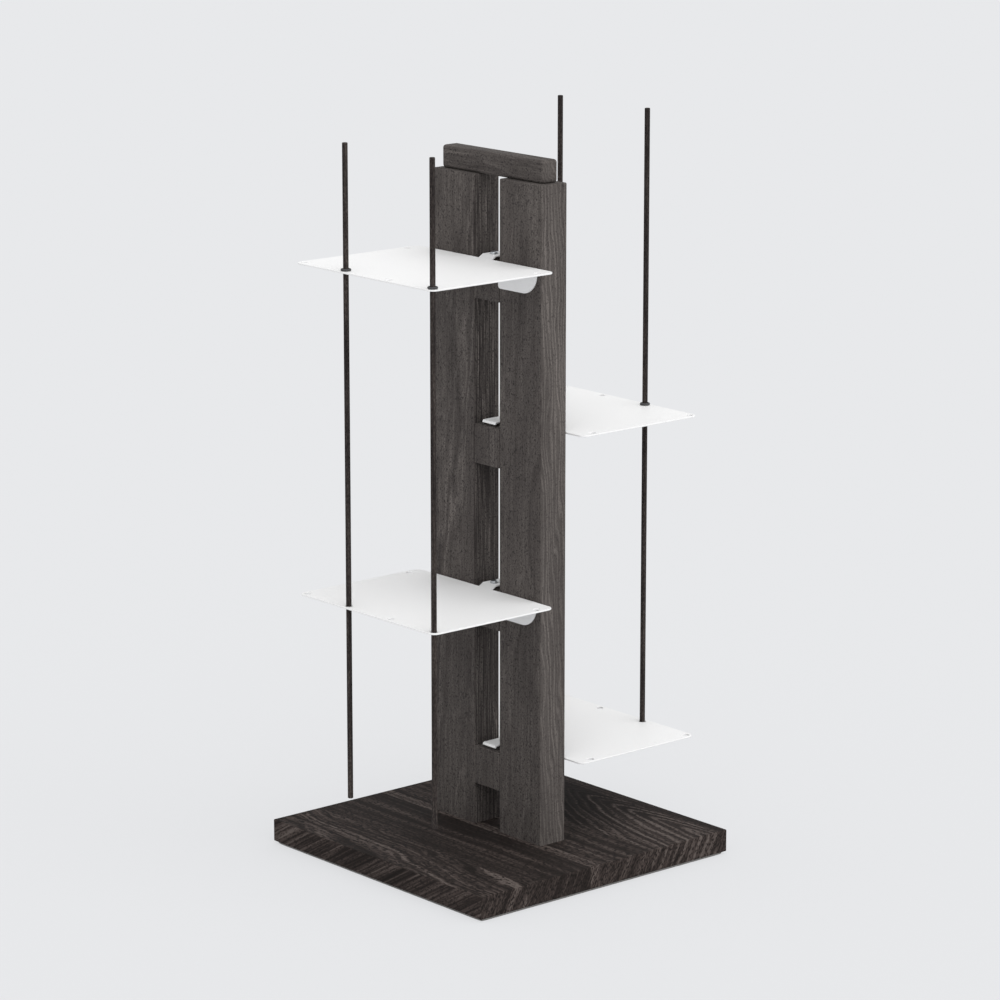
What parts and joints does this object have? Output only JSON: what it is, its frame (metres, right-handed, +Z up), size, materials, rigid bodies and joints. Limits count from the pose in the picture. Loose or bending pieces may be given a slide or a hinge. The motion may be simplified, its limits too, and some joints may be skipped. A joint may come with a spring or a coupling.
{
  "type": "spine bookshelf",
  "caption": "Free-standing split wooden column on a square base, with bent steel shelves plugged into its slot and thin rods that keep the books in.",
  "frame": {"origin": "on the floor, under the middle of the base", "axes": "+X along the column's width, shelves towards -Y (front) and +Y (back), +Z up"},
  "size_m": [0.3, 0.318, 0.6846],
  "materials": {
    "base_wood": "open-pore dark stain",
    "column_wood": "open-pore dark stain",
    "rod_wood": "dark stain",
    "shelf_paint": "smooth matt white powder coat",
    "ring_rubber": "matt",
    "felt": "pressed grey felt",
    "screw_steel": "zinc plated",
    "dowel_wood": "plain beech"
  },
  "bodies": {
    "bookshelf": {"base_board": "base_wood", "base_felt_sheet": "felt", "post_left": "column_wood", "post_right": "column_wood", "top_bar": "column_wood", "base_screws": "screw_steel", "block_dowels": "dowel_wood", "top_bar_dowels": "dowel_wood", "tongue_screws": "screw_steel", "shelf_1_back": "shelf_paint", "tongue_block_1": "column_wood", "shelf_2_front": "shelf_paint", "tongue_block_2": "column_wood", "shelf_3_back": "shelf_paint", "tongue_block_3": "column_wood", "shelf_4_front": "shelf_paint", "tongue_block_4": "column_wood"},
    "rod_front_left": {"rod_front_left": "rod_wood", "ring_front_left": "ring_rubber"},
    "rod_front_right": {"rod_front_right": "rod_wood", "ring_front_right": "ring_rubber"},
    "rod_back_left": {"rod_back_left": "rod_wood", "ring_back_left": "ring_rubber"},
    "rod_back_right": {"rod_back_right": "rod_wood", "ring_back_right": "ring_rubber"}
  },
  "joints": [
    {"name": "rod_front_left_lift", "type": "slide", "parent": "bookshelf", "child": "rod_front_left", "axis": [0, 0, 1], "range_m": [0, 0.48]},
    {"name": "rod_front_right_lift", "type": "slide", "parent": "bookshelf", "child": "rod_front_right", "axis": [0, 0, 1], "range_m": [0, 0.48]},
    {"name": "rod_back_left_lift", "type": "slide", "parent": "bookshelf", "child": "rod_back_left", "axis": [0, 0, 1], "range_m": [0, 0.317]},
    {"name": "rod_back_right_lift", "type": "slide", "parent": "bookshelf", "child": "rod_back_right", "axis": [0, 0, 1], "range_m": [0, 0.317]}
  ]
}
